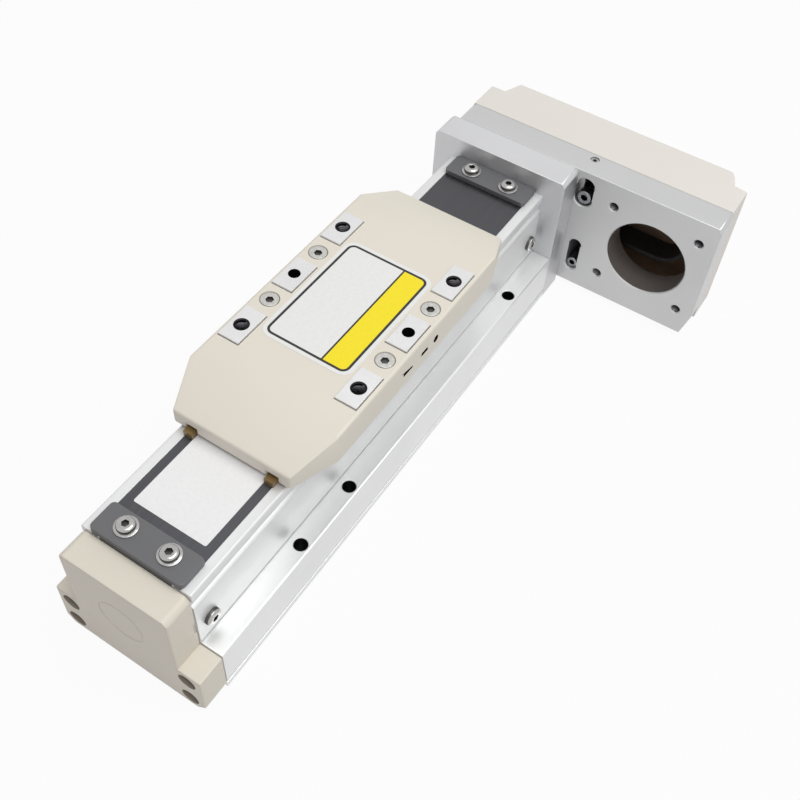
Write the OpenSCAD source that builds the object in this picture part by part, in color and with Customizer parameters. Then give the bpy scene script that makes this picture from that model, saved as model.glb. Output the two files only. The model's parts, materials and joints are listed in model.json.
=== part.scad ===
// Ball screw linear module with a side-folded belt motor mount.
// All sizes are in millimetres. +X runs along the module towards the motor end,
// +Y to its left and +Z up. The origin is the centre of the base's underside.

/* [Node] */
// Sub-part to build, or all of them

/* [Base extrusion] */
// Length of the extruded base between its machined ends
base_l = 191; // [171:1:400]
// Width over the two mounting flanges
base_w = 53; // [50:0.5:60]
// Height of the mounting flanges
flange_h = 20; // [18:0.5:24]
// Thickness of the floor under the carriage
floor_t = 8; // [5:0.5:9]
// Inner width of the channel that the carriage runs in
channel_w = 26.8; // [26.8:0.1:28]
// Diameter of the holes through the flanges
flange_hole_d = 4.5; // [3.4:0.1:5.5]
// Distance between the two rows of flange holes
flange_hole_gauge = 46; // [45.6:0.1:46.4]
// Pitch of the main flange holes
flange_hole_pitch = 100; // [50:5:110]
// Middle of the main flange holes along the base
flange_hole_mid = 20; // [0:1:25]
// Position of the extra pair of flange holes
flange_extra_x = -55; // [-75:1:-40]

/* [Side covers] */
// Outer width of the raised body
body_w = 38; // [37:0.5:42]
// Height of the covers' top faces
body_h = 46.5; // [46:0.5:50]
// Thickness of the covers' side walls
cover_wall = 2.6; // [2.2:0.1:2.8]
// Width of the slot between the two covers' ledges
slot_w = 25; // [24.6:0.1:26]

/* [Strip seal] */
// Width of the thin steel strip
strip_w = 31; // [30.4:0.1:31.2]
// Thickness of the strip
strip_t = 0.3; // [0.2:0.05:0.4]
// Height that the strip is lifted where it crosses the carriage
strip_lift = 4; // [3.8:0.1:5]
// Length of each ramp of the lifted strip
ramp_l = 15; // [12:0.5:16]

/* [Ball screw] */
// Outer diameter of the screw
screw_d = 10; // [8:0.5:10.5]
// Axial advance of one turn
lead = 10; // [5:1:20]
// Number of thread starts
starts = 2; // [1:1:2]
// Height of the screw's axis
axis_h = 29; // [28:0.5:30]
// Outer diameter of the nut's barrel
nut_d = 19; // [17:0.5:19.5]
// Length of the nut without its flange
nut_l = 30; // [24:1:36]
// Diameter of the nut's flange
nut_flange_d = 29; // [28.4:0.2:30]
// Thickness of the nut's flange
nut_flange_t = 4; // [3:0.5:5]

/* [Carriage] */
// Position of the carriage's middle as built
slide_x = 3; // [-20:1:20]
// Full stroke of the carriage
stroke = 50; // [20:5:60]
// Length of the carriage over the nut's flange
block_l = 96; // [90:1:100]
// Length of the table under the plastic cover
table_l = 75; // [70:1:78]
// Width of the table
table_w = 49.2; // [48:0.2:49.6]
// Distance between the load holes along the module
pad_pitch_x = 52; // [48:0.5:54]
// Distance between the load holes across the module
pad_pitch_y = 42; // [41:0.5:43]
// Height of the pads' faces above the base's underside
pad_h = 59.7; // [59:0.1:62]
// Drilled radius of the load holes
pad_hole_r = 2.1; // [1.6:0.1:2.5]
// Radius of the dowel holes
dowel_r = 2; // [1:0.1:2.5]

/* [Slider cover] */
// Overall length of the plastic cover
cover_l = 117; // [112:1:118]
// Width of the cover between its creases
cover_w = 52.6; // [52:0.2:53]
// Width of the cover's end faces
cover_end_w = 41.4; // [36:0.2:44]
// Distance from the middle to each crease
crease_x = 42.7; // [40:0.1:46]
// Height of the cover's top face
cover_h = 59; // [58.4:0.1:59.4]
// Height of the top edge at the cover's ends
cover_end_h = 53; // [52:0.1:56]
// Height of the cover's lower rim
cover_rim_h = 47.5; // [47.1:0.1:48.5]
// Thickness of the cover's skin
cover_skin = 1.4; // [1:0.1:1.5]

/* [Ends] */
// Length of each block or clamp inside the base's ends
end_l = 10; // [9.5:0.5:11]
// Length of the plastic end cap
cap_l = 9.7; // [8:0.1:14]
// Thickness of the bearing block outside the base
block_t = 11.1; // [10.5:0.1:14]
// Height of the bearing block, motor plate and belt cover
head_h = 54.9; // [52:0.1:58]
// Thickness of the clamp plates on the strip
clamp_t = 1.9; // [1.2:0.1:2.5]

/* [Motor plate] */
// Distance from the screw's axis to the motor's axis
motor_offset = 58; // [56:0.5:62]
// Radius of the hole for the motor's pilot
pilot_r = 15; // [11:0.5:16]
// Distance between the motor's screw holes, on a square
motor_square = 32.5; // [31:0.1:34]
// Drilled radius of the motor's screw holes
motor_hole_r = 1.65; // [1.25:0.05:2.1]
// Thickness of the motor plate
plate_t = 10.9; // [9:0.1:14]
// Distance from the screw's axis to the plate's left side
plate_left = 23.5; // [22:0.1:25]
// Distance from the motor's axis to the plate's right side
plate_right = 22.6; // [21:0.1:26]
// Gap between the plate's lower edge and the mounting plane
plate_gap = 2.5; // [1:0.1:4]

/* [Belt drive] */
// Depth of the belt cover's rim
rim_l = 13.5; // [12:0.5:16]
// Depth that the belt cover bulges beyond its rim
bulge_l = 7.3; // [5:0.1:10]
// Thickness of the belt cover's wall
shell_t = 2.2; // [1.6:0.1:3]
// Number of teeth on the screw's pulley
pulley_teeth = 20; // [18:1:21]
// Pitch of the belt's teeth
tooth_pitch = 3; // [2:0.5:3]
// Width of the belt
belt_w = 9.6; // [6:0.2:9.6]
// Thickness of the belt
belt_t = 1.6; // [1.2:0.1:1.8]

/* [Hidden] */
$fn = 64;

// Clearance added where a small step keeps cutters off coplanar faces
eps = 0.01;
// Radial room between a screw's shank and the hole drawn for its thread
thread_gap = 0.15;
// Radial fit of bearing rings, shaft seats and the nut's barrel
seat_gap = 0.03;
// Radial room between the screw's crests and the nut's bore
nut_gap = 0.3;
// Step of the screw's shoulder above the thread's crest
collar_step = 0.6;
// Room between the heads of screws that stand side by side
head_gap = 0.05;

base_half = base_l / 2;
side_half = base_w / 2;
body_half = body_w / 2;
channel_half = channel_w / 2;
slot_half = slot_w / 2;
inner_half = body_half - cover_wall;
strip_half = strip_w / 2;
strip_z = body_h - strip_t;

// Rails let into the channel's walls
rail_z = floor_t + 3;
rail_h = flange_h - rail_z - 2;
rail_t = 4;
rail_mid = rail_z + rail_h / 2;
groove_r = 1.45;
groove_y = channel_half - 0.2;

// Side covers
ridge_z = body_h - 6.8;
lip_z = body_h - 3.5;
groove_depth = 1.1;
ledge_z = body_h - 3.1;
lip_inner = strip_half + 0.15;
magnet_w = 2;
magnet_t = 1.6;
magnet_y = slot_half + 1.7;
side_screw_x = base_half - end_l / 2 - 0.25;
side_screw_z = flange_h + 8;

// Base's end holes, shared by the end cap and the bearing block
end_hole_y = side_half - 5.2;
end_hole_low = 5;
end_hole_high = flange_h - 5;

// Clamp screws
clamp_x = base_half - end_l / 2 - 0.5;
clamp_y = 7.5;
clamp_half = strip_half + 0.6;

// Machine screw radii and heads
m3_r = 1.5;
m3_head_r = 2.75;
m3_head_h = 3;
flat_head_r = 2.95;
flat_gap = 0.3;
m4_r = 2;
m4_head_r = 3.5;
m4_head_h = 4;

// Carriage
block_half = block_l / 2;
block_low = floor_t + 1;
block_side = channel_half - 0.4;
block_mid_half = inner_half - 0.8;
block_mid_h = ledge_z - 0.6;
neck_half = slot_half - 0.7;
table_half = table_w / 2;
table_low = body_h + 0.8;
bridge_top = strip_z + strip_lift - 0.8;
tunnel_half = strip_half + 1.3;
table_top = cover_h - 2;
pad_inner = pad_pitch_y / 2 - 3.8;
corner_pad_half = 6.8;
corner_pad_mid = pad_pitch_x / 2 - 0.3;
mid_pad_half = 6.6;
pad_gap = 0.25;
cover_screw_x = pad_pitch_x / 4 - 0.5;
shoe_reach = 1.6;
shoe_y = slot_half + 1.9;
shoe_w = 3.2;

// Nut screws
nut_pcd_r = 11.5;

// Ends
cap_recess = 6.5;
bumper_l = base_half - end_l - (stroke / 2 + block_half) - 0.2;
bumper_wall = 2.1;
bumper_gap = 0.8;
bumper_bore = screw_d / 2 + collar_step + bumper_gap;
bumper_r = bumper_bore + bumper_wall;
idle_d = 15;
idle_w = 5;
idle_shaft_r = 3;
bearing_d = 22;
bearing_w = 7;
bearing_shaft_r = 4;
bearing_x = base_half - end_l + 2.5;
block_end = base_half + block_t;
plate_end = block_end + plate_t;
rim_end = plate_end + rim_l;
bulge_end = rim_end + bulge_l;

// Belt drive
pulley_r = pulley_teeth * tooth_pitch / PI / 2 - 0.38;
pulley_x = plate_end + 1.6;
pulley_flange_r = pulley_r + 2.4;
pulley_flange_t = 1;
pulley_l = belt_w + 0.9 + 2 * pulley_flange_t;
belt_inner_r = pulley_r + 0.13;
belt_x = pulley_x + pulley_flange_t + 0.45;
motor_y = -motor_offset;

// Sweeps a drawing in the Y-Z plane along +X
module along_x(l) {
    rotate([90, 0, 90]) linear_extrude(l) children();
}

// Cylinder lying along +X from x
module rod_x(x, r, l) {
    translate([x, 0, 0]) rotate([0, 90, 0]) cylinder(h = l, r = r);
}

// Closed outline from its right half, listed from bottom to top
function both_halves(p) = concat(p, [for (i = [len(p) - 1:-1:0]) [-p[i][0], p[i][1]]]);

// Mirrored copy in Y beside the original
module both_sides() {
    children();
    mirror([0, 1, 0]) children();
}

// Socket head screw: the shank runs down from the origin, the head stands above it
module cap_screw(r, l, head_r, head_h) {
    translate([0, 0, -l]) cylinder(h = l + eps, r = r);
    difference() {
        cylinder(h = head_h, r = head_r);
        translate([0, 0, head_h / 2]) cylinder(h = head_h, r = r * 0.95, $fn = 6);
    }
}

// Countersunk screw with its head's face at the origin
module flat_screw(r, l, head_r, head_h) {
    difference() {
        union() {
            translate([0, 0, -head_h]) cylinder(h = head_h, r1 = r, r2 = head_r);
            translate([0, 0, -l]) cylinder(h = l - head_h + eps, r = r);
        }
        translate([0, 0, -head_h * 0.7]) cylinder(h = head_h, r = r * 0.9, $fn = 6);
    }
}

// ---------------------------------------------------------------- base

module base_section() {
    bevel = 0.5;
    half = [
        [side_half - bevel, 0], [side_half, bevel],
        [side_half, flange_h - bevel], [side_half - bevel, flange_h],
        [channel_half, flange_h], [channel_half, rail_z + rail_h],
        [channel_half + rail_t, rail_z + rail_h], [channel_half + rail_t, rail_z],
        [channel_half, rail_z], [channel_half, floor_t]
    ];
    difference() {
        polygon(both_halves(half));
        // Shallow reliefs between the ground foot faces
        translate([4, -1]) square([channel_half - 4, 1.5]);
        translate([-channel_half, -1]) square([channel_half - 4, 1.5]);
        // Long drip grooves low on both flanges
        translate([side_half - 0.6, 3]) square([2, 1]);
        translate([-side_half - 1.4, 3]) square([2, 1]);
    }
}

module flange_hole_at(x) {
    both_sides() translate([x, flange_hole_gauge / 2, -1])
        cylinder(h = flange_h + 2, d = flange_hole_d);
}

module base_profile() {
    hole_l = 12;
    color("silver") difference() {
        translate([-base_half, 0, 0]) along_x(base_l) base_section();
        flange_hole_at(flange_hole_mid - flange_hole_pitch / 2);
        flange_hole_at(flange_hole_mid + flange_hole_pitch / 2);
        flange_hole_at(flange_extra_x);
        for (x = [-base_half - 1, base_half - hole_l])
            for (z = [end_hole_low, end_hole_high])
                both_sides() translate([0, end_hole_y, z])
                    rod_x(x, m3_r + thread_gap, hole_l + 1);
    }
}

module rail(side) {
    color("lightgrey") translate([-base_half, 0, 0]) along_x(base_l)
        scale([side, 1]) difference() {
            translate([channel_half, rail_z]) square([rail_t, rail_h]);
            translate([groove_y, rail_mid]) circle(r = groove_r);
        }
}

// ---------------------------------------------------------------- side covers

module side_cover_section() {
    bevel = 0.4;
    seam_d = 1;
    seam_h = 0.45;
    groove = body_half - groove_depth;
    slot_lo = magnet_y - magnet_w / 2 - 0.1;
    slot_hi = magnet_y + magnet_w / 2 + 0.1;
    polygon([
        [inner_half, flange_h], [body_half - seam_d, flange_h],
        [body_half - seam_d, flange_h + seam_h], [body_half, flange_h + seam_h],
        [body_half, ridge_z - bevel],
        [body_half - bevel, ridge_z], [groove, ridge_z + bevel], [groove, lip_z - bevel],
        [body_half - bevel, lip_z], [body_half, lip_z + bevel],
        [body_half, body_h - bevel], [body_half - bevel, body_h], [lip_inner, body_h],
        [lip_inner, strip_z], [slot_hi, strip_z], [slot_hi, strip_z - magnet_t],
        [slot_lo, strip_z - magnet_t], [slot_lo, strip_z], [slot_half, strip_z],
        [slot_half, ledge_z], [inner_half - 1, ledge_z], [inner_half, ledge_z - 1]
    ]);
}

module side_cover(side) {
    color("gainsboro") scale([1, side, 1]) difference() {
        translate([-base_half, 0, 0]) along_x(base_l) side_cover_section();
        for (x = [-side_screw_x, side_screw_x])
            translate([x, inner_half - 1, side_screw_z]) rotate([-90, 0, 0])
                cylinder(h = cover_wall + 2, r = m3_r + 0.2);
    }
}

module side_cover_screws() {
    color("white") both_sides() for (x = [-side_screw_x, side_screw_x])
        translate([x, body_half, side_screw_z]) rotate([-90, 0, 0])
            cap_screw(m3_r, 6.4, m3_head_r, 1.8);
}

module magnet_strips() {
    color("dimgrey") both_sides()
        translate([end_l - base_half, magnet_y - magnet_w / 2, strip_z - magnet_t])
            cube([base_l - 2 * end_l, magnet_w, magnet_t]);
}

// ---------------------------------------------------------------- strip

// Lift of the strip at a distance u from the carriage's middle
function lift(u) = u < table_l / 2 + 0.5 ? strip_lift
    : u > table_l / 2 + 0.5 + ramp_l ? 0
    : strip_lift * (1 + cos(180 * (u - table_l / 2 - 0.5) / ramp_l)) / 2;

module cover_strip() {
    steps = 12;
    end = base_half - 0.5;
    ramp_in = table_l / 2 + 0.5;
    left = [for (i = [0:steps]) slide_x - ramp_in - ramp_l + ramp_l * i / steps];
    right = [for (i = [0:steps]) slide_x + ramp_in + ramp_l * i / steps];
    xs = concat([-end], left, right, [end]);
    n = len(xs);
    low = [for (i = [0:n - 1]) [xs[i], strip_z + lift(abs(xs[i] - slide_x))]];
    high = [for (i = [n - 1:-1:0]) [low[i][0], low[i][1] + strip_t]];
    color("dimgrey") difference() {
        translate([0, strip_half, 0]) rotate([90, 0, 0])
            linear_extrude(strip_w) polygon(concat(low, high));
        for (x = [-clamp_x, clamp_x])
            both_sides() translate([x, clamp_y, strip_z - 1])
                cylinder(h = 3, r = m3_r + 0.2);
    }
}

module strip_clamp() {
    corner_r = 1.5;
    color("grey") difference() {
        translate([0, 0, body_h]) linear_extrude(clamp_t) hull()
            for (x = [corner_r - end_l / 2, end_l / 2 - corner_r])
                both_sides() translate([x, clamp_half - corner_r])
                    circle(r = corner_r, $fn = 32);
        both_sides() translate([base_half - end_l / 2 - clamp_x, clamp_y, body_h - 1])
            cylinder(h = clamp_t + 2, r = m3_r + 0.2);
    }
}

module strip_clamp_near() {
    translate([end_l / 2 - base_half, 0, 0]) strip_clamp();
}

module strip_clamp_far() {
    translate([base_half - end_l / 2, 0, 0]) mirror([1, 0, 0]) strip_clamp();
}

// Each screw carries a thin washer under its head
module clamp_screws() {
    washer_t = 0.5;
    color("white") for (x = [-clamp_x, clamp_x])
        both_sides() translate([x, clamp_y, body_h + clamp_t]) {
            cylinder(h = washer_t + eps, r = 3.5);
            translate([0, 0, washer_t]) cap_screw(m3_r, 7.4, m3_head_r, 2.2);
        }
}

// ---------------------------------------------------------------- idle end

// Outline shared by the idle block and the bearing block's nose
module end_section() {
    half = [
        [block_side, floor_t], [block_side, flange_h],
        [inner_half, flange_h], [inner_half, ledge_z - 1], [inner_half - 1, ledge_z],
        [slot_half - 0.1, ledge_z], [slot_half - 0.1, strip_z]
    ];
    polygon(both_halves(half));
}

// Threaded holes for the clamp's and the side covers' screws
module end_holes(x_clamp, x_side) {
    both_sides() {
        translate([x_clamp, clamp_y, strip_z - 5.8])
            cylinder(h = 7, r = m3_r + thread_gap);
        translate([x_side, body_half - 7, side_screw_z]) rotate([-90, 0, 0])
            cylinder(h = 8, r = m3_r + thread_gap);
    }
}

module idle_block() {
    x0 = -base_half;
    color("silver") difference() {
        translate([x0, 0, 0]) along_x(end_l) end_section();
        translate([0, 0, axis_h]) rod_x(x0 - 1, idle_d / 2 + seat_gap, idle_w + 1);
        translate([0, 0, axis_h]) rod_x(x0, idle_d / 2 - 2, end_l + 1);
        end_holes(-clamp_x, -side_screw_x);
    }
}

// Outer ring with its two shields, about the X axis
module outer_ring(x, d, w, bore_r) {
    wall = (d / 2 - bore_r) * 0.3;
    translate([x, 0, axis_h]) rotate([0, 90, 0]) rotate_extrude() difference() {
        translate([bore_r + wall + 0.25, 0]) square([d / 2 - bore_r - wall - 0.25, w]);
        translate([0, w * 0.1]) square([d / 2 - wall, w * 0.8]);
    }
}

// Inner ring about the X axis
module inner_ring(x, d, w, bore_r) {
    wall = (d / 2 - bore_r) * 0.3;
    translate([x, 0, axis_h]) rotate([0, 90, 0]) rotate_extrude()
        translate([bore_r + seat_gap, 0]) square([wall - seat_gap, w]);
}

module idle_bearing() {
    color("lightgrey") outer_ring(-base_half, idle_d, idle_w, idle_shaft_r);
}

module idle_bearing_inner() {
    color("lightgrey") inner_ring(-base_half, idle_d, idle_w, idle_shaft_r);
}

module bumper_near() {
    color("#303030") translate([0, 0, axis_h]) difference() {
        rod_x(end_l - base_half, bumper_r, bumper_l);
        rod_x(end_l - base_half - 1, bumper_bore, bumper_l + 2);
    }
}

module bumper_far() {
    mirror([1, 0, 0]) bumper_near();
}

module end_cap() {
    cap_w = body_w - 0.5;
    cap_h = body_h - 1.1;
    low_h = flange_h - 0.7;
    wall = 2;
    bevel = 3;
    blank_r = 8;
    blank_depth = 0.12;
    outline = [
        [side_half - bevel, 0.2], [side_half, bevel + 0.2],
        [side_half, low_h], [cap_w / 2, low_h], [cap_w / 2, cap_h - 1.5],
        [cap_w / 2 - 1.5, cap_h]
    ];
    pocket = [
        [channel_half, 3], [channel_half, low_h],
        [cap_w / 2 - wall, low_h], [cap_w / 2 - wall, cap_h - wall]
    ];
    color("#e1dcd0") translate([-base_half - cap_l, 0, 0]) difference() {
        along_x(cap_l) polygon(both_halves(outline));
        translate([wall, 0, 0]) along_x(cap_l) polygon(both_halves(pocket));
        // Recesses and clearance holes for the four screws
        for (z = [end_hole_low, end_hole_high])
            both_sides() translate([0, end_hole_y, z]) {
                rod_x(-1, m3_head_r + 0.3, cap_recess + 1);
                rod_x(0, m3_r + 0.2, cap_l + 1);
            }
        // Shallow round blank in the middle of the face
        translate([0, 0, axis_h - 2]) difference() {
            rod_x(-1, blank_r, 1 + blank_depth);
            rod_x(-2, blank_r - 0.6, 3);
        }
        // Finger notches at the seam with the side covers
        both_sides() translate([cap_l - 1.4, cap_w / 2 - 0.8, flange_h + 6])
            cube([2, 2, 6]);
    }
}

module end_cap_screws() {
    color("white") for (z = [end_hole_low, end_hole_high])
        both_sides() translate([cap_recess - base_half - cap_l, end_hole_y, z])
            rotate([0, -90, 0]) cap_screw(m3_r, 14, m3_head_r, m3_head_h);
}

// ---------------------------------------------------------------- motor end

module bearing_block() {
    bevel = 1.5;
    half = [
        [side_half, 0], [side_half, head_h - bevel], [side_half - bevel, head_h]
    ];
    nose_x = base_half - end_l;
    color("silver") difference() {
        union() {
            translate([base_half, 0, 0]) along_x(block_t) polygon(both_halves(half));
            translate([nose_x, 0, 0]) along_x(end_l + 1) end_section();
        }
        translate([0, 0, axis_h]) {
            rod_x(bearing_x, bearing_d / 2 + seat_gap, block_end - bearing_x + 1);
            rod_x(nose_x - 1, bearing_d / 2 - 3, 5);
        }
        end_holes(clamp_x, side_screw_x);
        for (z = [end_hole_low, end_hole_high])
            both_sides() translate([0, end_hole_y, z]) {
                rod_x(base_half - 1, m3_r + 0.2, block_t + 2);
                rod_x(block_end - m3_head_h - 0.3, m3_head_r + 0.3, m3_head_h + 1);
            }
        for (z = [plate_screw_low, plate_screw_high])
            both_sides() translate([0, plate_screw_y, z])
                rod_x(block_end - 7, m4_r + thread_gap, 8);
    }
}

module bearing_block_screws() {
    color("white") for (z = [end_hole_low, end_hole_high])
        both_sides() translate([block_end - m3_head_h - 0.3, end_hole_y, z])
            rotate([0, 90, 0]) cap_screw(m3_r, 16, m3_head_r, m3_head_h);
}

module fixed_bearings() {
    color("lightgrey") for (i = [0, 1])
        outer_ring(bearing_x + i * bearing_w, bearing_d, bearing_w, bearing_shaft_r);
}

module fixed_bearings_inner() {
    color("lightgrey") for (i = [0, 1])
        inner_ring(bearing_x + i * bearing_w, bearing_d, bearing_w, bearing_shaft_r);
}

// Ring screwed in behind the outer rings, with two spanner slots
module bearing_retainer() {
    x = bearing_x + 2 * bearing_w;
    color("grey") translate([0, 0, axis_h]) difference() {
        rod_x(x, bearing_d / 2 - seat_gap, block_end - x - 0.5);
        rod_x(x - 1, 8.2, block_end - x + 1);
        translate([block_end - 2, -bearing_d, -1]) cube([3, 2 * bearing_d, 2]);
    }
}

// ---------------------------------------------------------------- motor plate

plate_screw_y = end_hole_y - m3_head_r - m4_head_r - head_gap;
plate_screw_low = 12;
plate_screw_high = head_h - 9;
slot_y = -side_half - 3.4;
upper_slot_z = [43.2, 48.4];
upper_slot_r = 3.5;
lower_slot_y = -side_half - 4.5;
lower_slot_z = [11.2, 21.2];
lower_slot_r = 2.3;
tension_x = plate_end - 2.9;
tension_y = -side_half - 1.9;

module plate_section() {
    right = motor_y - plate_right;
    bevel = 1.2;
    difference() {
        polygon([
            [plate_left, plate_gap], [plate_left, head_h - bevel],
            [plate_left - bevel, head_h], [right + bevel, head_h],
            [right, head_h - bevel], [right, 12], [right + 2.3, plate_gap]
        ]);
        translate([motor_y, axis_h]) circle(r = pilot_r);
        translate([0, axis_h]) circle(r = 9);
        for (a = [motor_y - motor_square / 2, motor_y + motor_square / 2])
            for (b = [axis_h - motor_square / 2, axis_h + motor_square / 2])
                translate([a, b]) circle(r = motor_hole_r);
    }
}

// Upright slot through the plate, from one end's centre to the other's
module slot_cut(x, y, z, r, l) {
    translate([0, y, z[0]]) rod_x(x, r, l);
    translate([0, y, z[1]]) rod_x(x, r, l);
    translate([x, y - r, z[0]]) cube([l, 2 * r, z[1] - z[0]]);
}

module motor_plate() {
    color("silver") difference() {
        translate([block_end, 0, 0]) along_x(plate_t) plate_section();
        slot_cut(block_end - 1, slot_y, upper_slot_z, upper_slot_r, 5);
        slot_cut(block_end, slot_y, upper_slot_z, m3_r + 0.5, plate_t + 1);
        slot_cut(block_end - 1, lower_slot_y, lower_slot_z, lower_slot_r, plate_t + 2);
        // Counterbored holes for the screws into the bearing block
        for (z = [plate_screw_low, plate_screw_high])
            both_sides() translate([0, plate_screw_y, z]) {
                rod_x(block_end - 1, m4_r + 0.25, plate_t + 2);
                rod_x(plate_end - m4_head_h - 0.3, m4_head_r + 0.25, m4_head_h + 1);
            }
        // Threaded holes for the belt cover's screws
        for (p = cover_screw_spots)
            translate([0, p[0], p[1]]) rod_x(plate_end - 7, m3_r + thread_gap, 8);
        // Threaded hole for the tension screw, from the top edge
        translate([tension_x, tension_y, head_h - 10])
            cylinder(h = 11, r = m3_r + thread_gap);
    }
}

module motor_plate_screws() {
    color("white") for (z = [plate_screw_low, plate_screw_high])
        both_sides() translate([plate_end - m4_head_h - 0.3, plate_screw_y, z])
            rotate([0, 90, 0]) cap_screw(m4_r, 12, m4_head_r, m4_head_h);
}

module slot_screw_upper() {
    color("white") translate([block_end + 4, slot_y, upper_slot_z[0] - 0.4])
        rotate([0, -90, 0]) cap_screw(m3_r, plate_t - 3.4, m3_head_r, m3_head_h);
}

// Pin that the tension screw bears on, low in the second slot
module slot_screw_lower() {
    color("white") translate([block_end + 1.2, lower_slot_y, lower_slot_z[0] - 0.1])
        rotate([0, 90, 0]) difference() {
            cylinder(h = plate_t - 1.2, r = lower_slot_r - 0.12);
            translate([0, 0, -1]) cylinder(h = 2.6, r = 1.2, $fn = 6);
        }
}

module tension_set_screw() {
    color("dimgrey") translate([tension_x, tension_y, head_h - 8.4]) difference() {
        cylinder(h = 8, r = m3_r);
        translate([0, 0, 6.4]) cylinder(h = 2, r = 0.8, $fn = 6);
    }
}

// ---------------------------------------------------------------- belt drive

module timing_belt() {
    color("#202020") translate([belt_x, 0, 0]) along_x(belt_w) difference() {
        hull() {
            translate([0, axis_h]) circle(r = belt_inner_r + belt_t, $fn = 48);
            translate([motor_y, axis_h]) circle(r = belt_inner_r + belt_t, $fn = 48);
        }
        hull() {
            translate([0, axis_h]) circle(r = belt_inner_r, $fn = 48);
            translate([motor_y, axis_h]) circle(r = belt_inner_r, $fn = 48);
        }
    }
}

cover_left = plate_left - 0.2;
cover_right = motor_y - plate_right + 0.6;
post_r = 3.4;
post_inset = post_r + 0.8;
cover_screw_spots = [
    [cover_left - post_inset, plate_gap + post_inset],
    [cover_left - post_inset, head_h - post_inset],
    [cover_right + post_inset, plate_gap + post_inset],
    [cover_right + post_inset, head_h - post_inset]
];

// Plan of the belt cover, drawn in the X-Y plane and grown inwards by t
module cover_plan(t, open) {
    polygon([
        [plate_end - open, cover_left - t], [rim_end - t, cover_left - t],
        [rim_end - t, cover_left - 5.6 - t * 0.6],
        [bulge_end - t, cover_left - 8.4 - t * 0.4],
        [bulge_end - t, cover_right + 8.6 + t * 0.4],
        [bulge_end - 1.8 - t, cover_right + 7 + t * 0.4],
        [rim_end + 1.8 - t, cover_right + 5.6 + t * 0.6],
        [rim_end - t, cover_right + 5 + t], [rim_end - t, cover_right + t],
        [plate_end - open, cover_right + t]
    ]);
}

module belt_cover() {
    color("#e1dcd0") difference() {
        union() {
            difference() {
                translate([0, 0, plate_gap]) linear_extrude(head_h - plate_gap)
                    cover_plan(0, 0);
                translate([0, 0, plate_gap + shell_t])
                    linear_extrude(head_h - plate_gap - 2 * shell_t)
                        cover_plan(shell_t, 1);
            }
            for (p = cover_screw_spots)
                translate([0, p[0], p[1]]) rod_x(plate_end, post_r, rim_l - 0.5);
        }
        for (p = cover_screw_spots)
            translate([0, p[0], p[1]]) {
                rod_x(plate_end - 1, m3_r + 0.2, rim_l + 2);
                rod_x(rim_end - m3_head_h, m3_head_r + 0.2, m3_head_h + 1);
            }
    }
}

module belt_cover_screws() {
    color("white") for (p = cover_screw_spots)
        translate([rim_end - m3_head_h, p[0], p[1]]) rotate([0, 90, 0])
            cap_screw(m3_r, rim_l + 3, m3_head_r, m3_head_h - 0.3);
}

// ---------------------------------------------------------------- carriage

module carriage() {
    translate([slide_x, 0, 0]) children();
}

module slider_block() {
    half = [
        [block_side, block_low], [block_side, flange_h + 0.6],
        [block_mid_half, flange_h + 0.6], [block_mid_half, block_mid_h]
    ];
    x0 = nut_flange_t - block_half;
    color("lightgrey") carriage() difference() {
        union() {
            translate([x0, 0, 0]) along_x(block_l - nut_flange_t)
                polygon(both_halves(half));
            translate([-table_l / 2 - 2, -neck_half, block_mid_h - 1])
                cube([table_l + 4, 2 * neck_half, table_low - block_mid_h + 1]);
        }
        // Ball grooves facing the rails
        both_sides() translate([0, groove_y, rail_mid])
            rod_x(x0 - 1, groove_r, block_l + 2);
        translate([0, 0, axis_h]) {
            rod_x(x0 - 1, nut_d / 2 + seat_gap, nut_l + 1.5);
            rod_x(x0, screw_d / 2 + 1.2, block_l);
            nut_screw_spots() rod_x(x0 - 1, m3_r + thread_gap, 9);
        }
        table_screw_spots() translate([0, 0, table_low - 6.5])
            cylinder(h = 7.5, r = m4_r + thread_gap);
    }
}

module nut_screw_spots() {
    for (a = [45:90:315]) rotate([a, 0, 0]) translate([0, 0, nut_pcd_r]) children();
}

module table_screw_spots() {
    for (x = [-table_l / 2 + 8, table_l / 2 - 8])
        both_sides() translate([x, 6.5, 0]) children();
}

module ball_nut() {
    x0 = -block_half;
    color("grey") carriage() translate([0, 0, axis_h]) difference() {
        union() {
            rod_x(x0, nut_flange_d / 2, nut_flange_t);
            rod_x(x0, nut_d / 2, nut_flange_t + nut_l);
        }
        rod_x(x0 - 1, screw_d / 2 + nut_gap, nut_l + nut_flange_t + 2);
        nut_screw_spots() rod_x(x0 - 1, m3_r + 0.2, nut_flange_t + 2);
    }
}

module nut_screws() {
    color("white") carriage() translate([0, 0, axis_h]) nut_screw_spots()
        translate([-block_half, 0, 0]) rotate([0, -90, 0])
            cap_screw(m3_r, 11, m3_head_r, m3_head_h);
}

// Six raised pads; grow widens them for the windows in the cover
module pads(z, h, grow) {
    y0 = pad_inner - grow;
    w = table_half - pad_inner + 2 * grow;
    both_sides() {
        for (x = [-corner_pad_mid, corner_pad_mid])
            translate([x - corner_pad_half - grow, y0, z])
                cube([2 * (corner_pad_half + grow), w, h]);
        translate([-mid_pad_half - grow, y0, z])
            cube([2 * (mid_pad_half + grow), w, h]);
    }
}

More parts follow.
